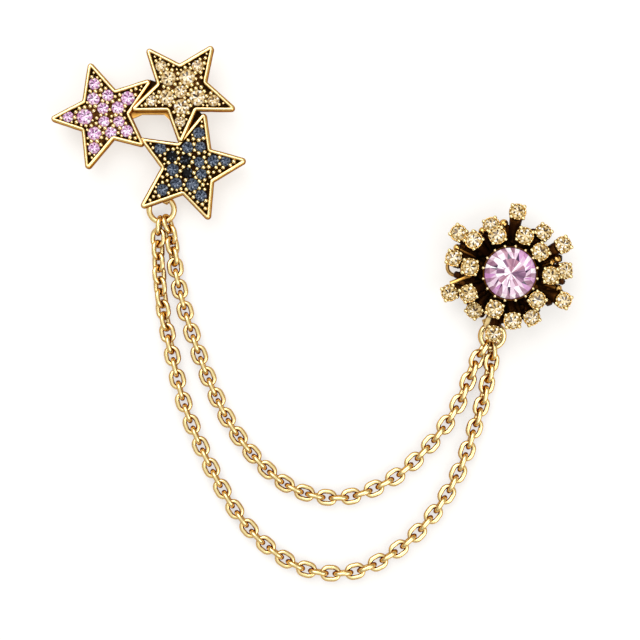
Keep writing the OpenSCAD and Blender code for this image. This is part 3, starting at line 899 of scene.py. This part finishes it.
def star_beads(shape, center, outline, lift, stones, rng):
    base = star_spot(center, BACK_HEIGHT + lift)
    for p, radius in bead_places(outline, stones):
        spot = base + p + UP * (STAR_FLOOR + rng.uniform(*BEAD_RISE))
        # Each bead has a painted highlight on top and painted shade below
        ball(shape, moved(spot), radius * rng.uniform(*BEAD_SPREAD), 0.1, 1.15, 12, 8)


WALL_SHADE = 0.18


def web(shape, outline, polish, wall):
    """A low web between stars, with painted shade that darkens it towards the wall that it meets,
    at that share of STAR_REACH up."""
    corners = [Vector((x, y, 0)) * STAR_REACH for x, y in outline]
    if sum(a.x * b.y - b.x * a.y for a, b in zip(corners, corners[1:] + corners[:1])) < 0:
        corners.reverse()
    count = len(corners)
    middle = sum(corners, Vector()) / count
    points = list(corners)
    points += [p + UP * (WEB_THICK - 0.15) for p in corners]
    points += [mix(p, middle, 0.04) + UP * WEB_THICK for p in corners]
    shine = [polish * (1 - smooth(wall - WALL_SHADE, wall, p.y / STAR_REACH)) for p in points]
    place = moved(STAR_PLACE + UP * BACK_HEIGHT)
    shape.add(points, plate_faces(count), shine, place=place)


def lug(shape, center, radius, direction):
    """A flat band bent round the ring's wire, standing on edge."""
    soft = SOFT_EDGE
    low, high = -LUG_WIDTH / 2, LUG_WIDTH / 2
    section = [
        (LUG_INNER, low + soft), (LUG_INNER + soft, low), (LUG_OUTER - soft, low),
        (LUG_OUTER, low + soft), (LUG_OUTER, high - soft), (LUG_OUTER - soft, high),
        (LUG_INNER + soft, high), (LUG_INNER, high - soft),
    ]
    place = moved(center + toward(direction, radius) + UP * LUG_Z)
    place = place @ turned(direction, "Z") @ turned(90, "X")
    ring_of(shape, section, place, 36, lambda p: 0.9)


def wire_polish(up):
    """A painted highlight where a wire's surface faces up and painted shade down its sides, up
    being the height of its unit normal."""
    return mix(DARKEST, 1.0, smooth(-0.1, 0.9, up))


def round_section(radius, wire, sides):
    """A wire's round section as (radius, height) rows."""
    rows = [toward(360 * j / sides, wire / 2) for j in range(sides)]
    return [(radius + row.x, row.y) for row in rows]


def jump_ring(brooch, center, radius, direction):
    """A ring that hangs in its lug and slopes down to the chain's height."""
    slope = math.degrees(math.asin((LUG_Z - CHAIN_Z) / 2 / radius))
    place = moved(center + UP * (LUG_Z + CHAIN_Z) / 2)
    place = place @ turned(direction, "Z") @ turned(-slope, "Y")

    def shine(p):
        return wire_polish(p.z / (SHOWN_RING_WIRE / 2))

    shape = Shape()
    middle = radius - (SHOWN_RING_WIRE - RING_WIRE) / 2
    ring_of(shape, round_section(middle, SHOWN_RING_WIRE, 24), place, 72, shine)
    piece(brooch + "_jump_ring", shape, chain_gold, [brooch + "_ring"])


def on_route(points, u):
    """The point of the smooth curve through points, u counted in them from the second."""
    i = min(int(u), len(points) - 4)
    t = u - i
    a, b, c, d = points[i : i + 4]
    square = (2 * a - 5 * b + 4 * c - d) * t * t
    cube = (3 * b - a - 3 * c + d) * t * t * t
    return (2 * b + (c - a) * t + square + cube) / 2


# Where the end links hold on inside the rings' wire, how finely a route is measured, the
# step to which a link's length is rounded, and how finely a link is drawn
HOOK_INSET = (RING_WIRE + 0.12) / 2
ROUTE_STEPS = 12
LINK_STEP = 0.02
ARC_PARTS = 10
LINK_SIDES = 16


def route_points(strand):
    """The points of a strand's curve, with one more beyond each end to steer it."""

    def hook(center, radius, angle):
        return center + toward(angle, radius - HOOK_INSET)

    first_at, last_at = strand["hooks"]
    start = hook(STAR_RING_CENTER, STAR_RING_RADIUS, first_at)
    end = hook(BURST_RING_CENTER, BURST_RING_RADIUS, last_at)
    across = BURST_RING_CENTER.x - STAR_RING_CENTER.x
    placed = [
        STAR_RING_CENTER + Vector((x * across, -y * strand["drop"], 0)) for x, y in strand["route"]
    ]
    before = placed[0] - toward(first_at, 2 * (placed[0] - start).length)
    after = placed[-1] - toward(last_at, 2 * (end - placed[-1]).length)
    return [before, start, *placed, end, after]


def link_mesh(shape, straight, place):
    """A link lies along X. It has a painted highlight on top, painted shade down its sides and the
    darkest painted shade where the next link's wire lies in its bend."""
    bend = (LINK_WIDTH - SHOWN_WIRE) / 2
    path = []
    for s in range(ARC_PARTS + 1):
        out = toward(-90 + 180 * s / ARC_PARTS)
        path.append((Vector((straight / 2, 0, 0)) + out * bend, out))
    for s in range(ARC_PARTS + 1):
        out = toward(90 + 180 * s / ARC_PARTS)
        path.append((Vector((-straight / 2, 0, 0)) + out * bend, out))
    turn = place.to_3x3()
    points, polish = [], []
    for spot, out in path:
        for j in range(LINK_SIDES):
            angle = 2 * math.pi * j / LINK_SIDES
            normal = out * math.cos(angle) + UP * math.sin(angle)
            points.append(spot + normal * SHOWN_WIRE / 2)
            # Painted shade in the bends where the next link lies
            inner = max(0.0, -math.cos(angle)) * smooth(0.5, 0.9, abs(out.x))
            polish.append(wire_polish((turn @ normal).z) * (1 - inner))
    shape.add(points, tube_faces(len(path), LINK_SIDES), polish, place=place)


def strand_piece(name, strand, node):
    """A strand: as many links as its length takes, each turned against the one before."""
    points = route_points(strand)
    count = (len(points) - 3) * ROUTE_STEPS
    along = [on_route(points, i / ROUTE_STEPS) for i in range(count + 1)]
    travel, run = [(0.0, 0.0)], 0.0
    for i in range(count):
        run += (along[i + 1] - along[i]).length
        travel.append((run, (i + 1) / ROUTE_STEPS))
    links = 2 * round((run / LINK_PITCH - strand["odd"]) / 2) + strand["odd"]
    paces = strand["paces"]
    widest = max((b[1] - a[1]) / (b[0] - a[0]) for a, b in zip(paces, paces[1:]))
    spare = widest * run / links + 2 * LINK_WIRE + LINK_PLAY - LINK_WIDTH
    straight = LINK_STEP * math.ceil(spare / LINK_STEP) + SHOWN_SPARE
    shape = Shape()
    for i in range(links):
        start = on_route(points, lookup(run * lookup(i / links, paces), travel))
        end = on_route(points, lookup(run * lookup((i + 1) / links, paces), travel))
        turn = 90 * (i + strand["odd"]) + lookup(i / (links - 1), strand["twist"])
        place = moved((start + end) / 2 + UP * CHAIN_Z)
        place = place @ turned(heading(end - start), "Z") @ turned(turn, "X")
        link_mesh(shape, straight, place)
    piece(name, shape, chain_gold, [node])


# The burst's cups, hub, stalks and prongs
LIP = 0.1
CUP_FLOOR = 0.35
FOOT_DEPTH = 0.9
FOOT_D = 1.87
CENTER_FOOT_D = 3.0
HUB_R = 8.0
HUB_BACK_R = 5.0
HUB_THICK = 1.4
STALK_D = 1.7
STALK_ROOT_D = 1.4
CONE_R = 1.25
INNER_ROOT = 2.24
OUTER_ROOT = 4.16
STALK_DROP = 0.45
BACK_GAP = SEAT_GAP * 1.7
PRONG_R = 0.39
GRAIN_R = 0.2
GRAIN_TURNS = (-16, 16)
CENTER_PRONG_R = 0.27
CENTER_PRONGS = 16


def burst_point(direction, reach, height):
    return BURST_PLACE + toward(direction, reach) + UP * height


def burst_radius(row):
    return (INNER_STONE_D if row[4] else OUTER_STONE_D) / 2


def burst_spot(row):
    return BURST_PLACE + toward(row[0], BURST_REACH * row[1])


def at_burst_stone(row):
    return moved(burst_spot(row) + UP * row[2]) @ turned(row[0], "Z") @ turned(row[3], "Y")


def cup_bottom(radius):
    """The height of a cup's underside over its stone's widest line."""
    return -radius * BACK_DROP - BACK_GAP - CUP_FLOOR


def cup(shape, place, radius, foot_d, steps, lip_polish):
    """A stone's cup: a tapered foot, a flared wall dark with painted shade under the stone, and a
    thin lip.
    """
    inner = radius + SEAT_GAP
    outer = inner + CUP_WALL
    low = cup_bottom(radius)
    revolve(
        shape,
        [
            (0, low - FOOT_DEPTH, 0.0),
            (foot_d * 0.3, low - FOOT_DEPTH, 0.0),
            (foot_d / 2, low, 0.08),
            (mix(foot_d / 2, outer, 0.85), low * 0.72, 0.2),
            (outer - 0.04, low * 0.5, 0.3),
            (outer, LIP - 0.2, lip_polish * 0.55),
            (outer - 0.03, LIP - 0.06, lip_polish * 0.65),
            (outer - 0.1, LIP + 0.02, lip_polish),
            (inner + 0.03, LIP + 0.0, lip_polish * 0.7),
            (inner, LIP - 0.1, 0.1),
            (inner, -radius * EDGE_DROP - SEAT_GAP, 0.0),
            (0, -radius * BACK_DROP - BACK_GAP, 0.0),
        ],
        place,
        steps,
    )


def prong(shape, place, angle, out, radius):
    """A prong: a post up the cup's side that ends in a ball on the lip, with painted shade down
    the post and a painted highlight on the ball.
    """
    side = place @ turned(angle, "Z") @ moved((out, 0, 0))
    ball(shape, side @ moved((0, 0, LIP)), radius, 0.3, 1.05, 16, 12)
    revolve(
        shape,
        [(0, -1.0, 0.15), (radius * 0.45, -0.95, 0.15), (radius * 0.72, -0.5, 0.35),
         (radius * 0.72, LIP, 0.6), (0, LIP, 0.6)],
        side @ moved((-0.06, 0, 0)),
        10,
    )


def stalk(shape, row):
    """A stalk from the hub to the back of its stone's cup, painted darkest with shade at the hub.
    """
    back = STALK_DROP - cup_bottom(burst_radius(row))
    lean = math.radians(row[3])
    root = BURST_PLACE + toward(row[0], INNER_ROOT if row[4] else OUTER_ROOT)
    root += UP * (BACK_HEIGHT + STALK_ROOT_D / 2)
    end = burst_spot(row) - toward(row[0], back * math.sin(lean))
    end += UP * (row[2] - back * math.cos(lean))
    bar(shape, root, end, STALK_ROOT_D / 2, STALK_D / 2 if row[4] else CONE_R, DARKEST, 0.3)


# Knobs on short stubs between the stones: (direction, reach, height, radius)
KNOBS = [
    (16.5, 9.3, 5.2, 0.75),
    (14.0, 8.2, 5.0, 0.7),
    (153, 10.6, 4.9, 0.7),
    (121, 9.2, 5.0, 0.75),
    (95, 9.3, 5.0, 0.85),
    (344, 9.6, 5.0, 0.7),
]
# Twigs between the stalks, painted dark as shade to fill the shaded mass under the stones:
# (direction, reach, height)
TWIGS = [
    (16, 8.6, 4.6), (43, 8.0, 4.8), (59, 9.0, 4.4), (76, 8.2, 5.2), (92, 8.6, 4.6),
    (124, 8.6, 5.0), (149, 9.8, 4.4), (158, 10.0, 4.6), (181, 9.4, 4.6), (192, 8.6, 5.0),
    (217, 8.8, 4.6), (237, 8.8, 4.4), (262, 8.6, 4.8), (286, 8.2, 4.6), (308, 8.6, 4.4),
    (325, 9.2, 4.8), (346, 8.6, 4.6), (8, 9.4, 4.3), (22, 9.4, 4.2), (352, 10.0, 4.2),
    (338, 8.0, 4.4), (30, 8.0, 4.2), (130, 9.6, 4.2), (170, 9.6, 4.0), (17, 9.9, 4.4),
    (340, 10.3, 4.4),
]
# Where the knobs' stubs and the twigs leave the hub
KNOB_ROOT = 5.0
TWIG_ROOT = 4.0
ROOT_Z = BACK_HEIGHT + 0.8
# A bar under the stones on the left, its ends beside BURST_PLACE
STRUT_FROM = (-6.9, -0.3, 5.0)
STRUT_TO = (-10.7, -1.9, 4.6)
# The arm that holds the ring's lug, and the lumps of metal on the hub
ARM_WIDTH = 1.8
ARM_THICK = 0.9
LUMPS = 60


def burst_hub(shape, rng):
    """The domed disc behind the stones and the rough metal on it, their tops painted dark as shade
    under the stones.
    """
    place = moved(BURST_PLACE + UP * BACK_HEIGHT)
    revolve(
        shape,
        [
            (0, 0, 0.4), (HUB_BACK_R - 0.3, 0, 0.4), (HUB_BACK_R, 0.1, 0.35),
            (HUB_R, HUB_THICK - 0.15, 0.1), (HUB_R - 0.15, HUB_THICK, 0.08),
            (HUB_R * 0.8, HUB_THICK - 0.05, DARKEST), (HUB_R * 0.5, HUB_THICK, DARKEST),
            (0, HUB_THICK, DARKEST),
        ],
        place,
        72,
    )
    for i in range(LUMPS):
        spot = toward(rng.uniform(0, 360), rng.uniform(3.5, 7.4))
        size = rng.uniform(0.35, 0.75)
        rise = UP * (HUB_THICK + rng.uniform(-0.1, 0.7))
        # The lumps are painted dark as shade, some lighter as glints
        lump(shape, place @ moved(spot + rise), size, rng.uniform(DARKEST, 0.25), i * 3.7)


def burst_arm(shape):
    """A flat arm from the hub to the ring's lug, round at its end."""
    end = BURST_RING_CENTER + toward(BURST_LUG_DIRECTION, BURST_RING_RADIUS)
    run = end - BURST_PLACE
    place = moved(BURST_PLACE + UP * BACK_HEIGHT) @ turned(heading(run), "Z")
    length, half = run.length, ARM_WIDTH / 2
    corners = [Vector((1.0, -half, 0)), Vector((length, -half, 0))]
    corners += [Vector((length, 0, 0)) + toward(-90 + 20 * s, half) for s in range(1, 9)]
    corners += [Vector((length, half, 0)), Vector((1.0, half, 0))]
    count = len(corners)
    points = list(corners)
    points += [p + UP * (ARM_THICK - 0.2) for p in corners]
    points += [Vector((mix(p.x, length / 2, 0.02), p.y * 0.8, ARM_THICK)) for p in corners]
    # Painted highlight on the top, painted shade on the lower sides
    polish = [0.6] * count + [0.8] * count + [0.95] * count
    shape.add(points, plate_faces(count), polish, place=place)


def burst_body(rng):
    shape = Shape()
    burst_hub(shape, rng)
    center = moved(BURST_PLACE + UP * CENTER_STONE_Z)
    low = cup_bottom(CENTER_STONE_D / 2)
    stem_top = CENTER_STONE_Z + low - 0.2
    # The stem under the big stone is painted darkest, as shade
    bar(
        shape, BURST_PLACE + UP * BACK_HEIGHT, BURST_PLACE + UP * stem_top,
        CENTER_FOOT_D / 2, CENTER_FOOT_D / 2, DARKEST, DARKEST, 24,
    )
    cup(shape, center, CENTER_STONE_D / 2, CENTER_FOOT_D, 96, 0.3)
    edge = CENTER_STONE_D / 2 + SEAT_GAP + CUP_WALL
    for i in range(CENTER_PRONGS):
        prong(shape, center, 360 / CENTER_PRONGS * (i + 0.5), edge + 0.02, CENTER_PRONG_R)
    for row in BURST_TABLE:
        radius = burst_radius(row)
        place = at_burst_stone(row)
        stalk(shape, row)
        cup(shape, place, radius, FOOT_D, 40, 0.76)
        edge = radius + SEAT_GAP + CUP_WALL
        for i in range(4):
            prong(shape, place, 90 * (i + 0.5), edge - 0.05, PRONG_R)
            for turn in GRAIN_TURNS:
                side = place @ turned(90 * i + turn, "Z")
                ball(shape, side @ moved((edge - 0.17, 0, LIP - 0.02)), GRAIN_R, 0.3, 1.0, 12, 8)
    for direction, reach, height, size in KNOBS:
        spot = burst_point(direction, reach, height)
        # Stubs and knobs with painted shade low down and a painted highlight on top
        bar(shape, burst_point(direction, KNOB_ROOT, ROOT_Z), spot, 0.45, 0.5, 0.1, 0.55)
        ball(shape, moved(spot), size, 0.2, 0.8, 18, 12)
    for direction, reach, height in TWIGS:
        spot = burst_point(direction, reach, height)
        bar(shape, burst_point(direction, TWIG_ROOT, ROOT_Z), spot, 0.85, 0.55, DARKEST, 0.16)
        lump(shape, moved(spot), 0.72, 0.2, direction)
    start, end = BURST_PLACE + Vector(STRUT_FROM), BURST_PLACE + Vector(STRUT_TO)
    bar(shape, start, end, 0.5, 0.52, 0.5, 0.85)
    burst_arm(shape)
    lug(shape, BURST_RING_CENTER, BURST_RING_RADIUS, BURST_LUG_DIRECTION)
    piece("burst_body", shape, cast_gold, ["burst_casting"])


# The stars: name, centre, outline, stones, lift over the back, polish of the floor, tones
# and material of the stones, and the seed of their lean and tints
STARS = [
    ("pink", PINK_CENTER, PINK_OUTLINE, PINK_TABLE, 0, 0.24, PINK_TONES, pink_glass, 5),
    ("champagne", CHAMPAGNE_CENTER, CHAMPAGNE_OUTLINE, CHAMPAGNE_TABLE, CHAMPAGNE_LIFT, 0.22,
     CHAMPAGNE_TONES, champagne_glass, 8),
    ("navy", NAVY_CENTER, NAVY_OUTLINE, NAVY_TABLE, 0, 0.08, NAVY_TONES, navy_glass, 3),
]


def stars_body():
    rng = random.Random(11)
    shape = Shape()
    for _, center, outline, stones, lift, floor_polish, *_ in STARS:
        star_body(shape, center, outline, lift, floor_polish)
        star_beads(shape, center, outline, lift, stones, rng)
    web(shape, PINK_WEB, 0.1, 0.86)
    web(shape, GAP_WEB, 0.68, 0.38)
    web(shape, NAVY_WEB, 0.1, 0.34)
    solder = STAR_PLACE + Vector((*SOLDER_PLACE, 0)) * STAR_REACH + UP * BACK_HEIGHT
    # The solder post is brighter at its top, as painted highlight
    bar(shape, solder, solder + UP * 1.95, 0.6, 0.55, 0.6, 0.9, 20)
    lug(shape, STAR_RING_CENTER, STAR_RING_RADIUS, STAR_LUG_DIRECTION)
    piece("stars_body", shape, cast_gold, ["star_casting"])


def star_gems(name, center, stones, lift, tones, material, seed):
    rng = random.Random(seed)
    shape = Shape()
    base = star_spot(center, BACK_HEIGHT + lift + STONE_LEVEL)
    for i, (x, y, radius) in enumerate(stones):
        spot = base + Vector((x, y, 0)) * STAR_REACH
        lean = turned(rng.uniform(-3, 3), "X") @ turned(rng.uniform(-3, 3), "Y")
        used = BLACK_TONES if name == "navy" and i in NAVY_BLACK else tones
        reflection_dark_side = 95 + rng.uniform(-35, 35)
        brilliant(shape, moved(spot) @ lean, radius * STAR_REACH, used, rng, reflection_dark_side)
    piece(name + "_gems", shape, material, [name + "_stones"], flat=True)


def center_gem():
    shape = Shape()
    place = moved(BURST_PLACE + UP * CENTER_STONE_Z)
    large_brilliant(shape, place, CENTER_STONE_D / 2, random.Random(21))
    piece("center_gem", shape, pink_glass, ["center_stone"], flat=True)


def burst_gems():
    rng = random.Random(31)
    shape = Shape()
    for row in BURST_TABLE:
        reflection_dark_side = 80 - row[0] + rng.uniform(-50, 50)
        brilliant(shape, at_burst_stone(row), burst_radius(row), BURST_TONES, rng, reflection_dark_side)
    nodes = [f"burst_stone_{i + 1}" for i in range(len(BURST_TABLE))]
    piece("burst_gems", shape, champagne_glass, nodes, flat=True)


def pin_metal():
    """Brushed gilt for the two pin backs, which are shown as they are."""
    material, nodes, links, shader = new_material("pin_metal")
    scratches = grain(nodes, links, 1800, 4)
    tones = ramp(nodes, links, scratches, [
        (0.3, colour(150, 108, 54)),
        (0.6, colour(214, 172, 104)),
        (0.8, colour(236, 204, 146)),
    ])
    links.new(tones, shader.inputs["Base Color"])
    rough = map_range(nodes, links, scratches, 0.22, 0.42)
    links.new(rough, shader.inputs["Roughness"])
    shader.inputs["Metallic"].default_value = 1.0
    bump(nodes, links, shader, scratches, 0.00002, 0.4)
    for node in ("star_pin", "burst_pin"):
        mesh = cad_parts[node].data
        mesh.materials.clear()
        mesh.materials.append(material)


stars_body()
for name, center, _, stones, lift, _, tones, material, seed in STARS:
    star_gems(name, center, stones, lift, tones, material, seed)
jump_ring("star", STAR_RING_CENTER, STAR_RING_RADIUS, STAR_LUG_DIRECTION)
jump_ring("burst", BURST_RING_CENTER, BURST_RING_RADIUS, BURST_LUG_DIRECTION)
strand_piece("outer_strand", OUTER_STRAND, "outer_chain")
strand_piece("inner_strand", INNER_STRAND, "inner_chain")
burst_body(random.Random(17))
center_gem()
burst_gems()
pin_metal()


def add_floor():
    """A pale table, faintly lit from below in a warm white."""
    mesh = bpy.data.meshes.new("floor")
    reach = 3.0
    corners = [(-reach, -reach, 0), (reach, -reach, 0), (reach, reach, 0), (-reach, reach, 0)]
    mesh.from_pydata(corners, [], [(0, 1, 2, 3)])
    material, _, _, shader = new_material("floor")
    shader.inputs["Base Color"].default_value = (0.36, 0.36, 0.36, 1)
    shader.inputs["Roughness"].default_value = 0.9
    shader.inputs["Specular IOR Level"].default_value = 0.0
    shader.inputs["Emission Color"].default_value = (1, 0.965, 0.915, 1)
    shader.inputs["Emission Strength"].default_value = 0.64
    mesh.materials.append(material)
    made = bpy.data.objects.new("floor", mesh)
    bpy.context.scene.collection.objects.link(made)


def add_area(name, place, size, power):
    """A soft white lamp that faces the middle of the table."""
    light = bpy.data.lights.new(name, "AREA")
    light.size = size
    light.energy = power
    made = bpy.data.objects.new(name, light)
    made.location = place
    made.rotation_mode = "QUATERNION"
    made.rotation_quaternion = Vector(place).to_track_quat("Z", "Y")
    bpy.context.scene.collection.objects.link(made)


def add_sky():
    """Bright overhead and dimmer at the horizon, so that metal edges stay deep."""
    world = bpy.data.worlds.new("studio")
    bpy.context.scene.world = world
    world.use_nodes = True
    nodes, links = world.node_tree.nodes, world.node_tree.links
    nodes.clear()
    where = nodes.new("ShaderNodeTexCoord")
    split = nodes.new("ShaderNodeSeparateXYZ")
    links.new(where.outputs["Generated"], split.inputs[0])
    tone = ramp(nodes, links, split.outputs["Z"], [
        (0.0, (0.24, 0.22, 0.20, 1)),
        (0.35, (0.36, 0.35, 0.34, 1)),
        (0.8, (0.80, 0.80, 0.80, 1)),
        (1.0, (0.95, 0.95, 0.95, 1)),
    ])
    back = nodes.new("ShaderNodeBackground")
    links.new(tone, back.inputs["Color"])
    output = nodes.new("ShaderNodeOutputWorld")
    links.new(back.outputs[0], output.inputs["Surface"])


# In metres, and the lens in millimetres
CAMERA_HEIGHT = 0.38
CAMERA_OVER = (0.00147, -0.00089)
LENS = 114


def add_camera():
    """A camera that looks straight down."""
    data = bpy.data.cameras.new("camera")
    data.lens = LENS
    data.sensor_width = 36
    data.clip_start = 0.01
    made = bpy.data.objects.new("camera", data)
    made.location = (*CAMERA_OVER, CAMERA_HEIGHT)
    bpy.context.scene.collection.objects.link(made)
    bpy.context.scene.camera = made


add_floor()
add_sky()
add_area("key", (-0.18, 0.34, 0.5), 0.55, 2.7)
add_area("fill", (0.36, -0.26, 0.48), 0.45, 1.5)
add_camera()
bpy.context.scene.view_settings.view_transform = "Standard"
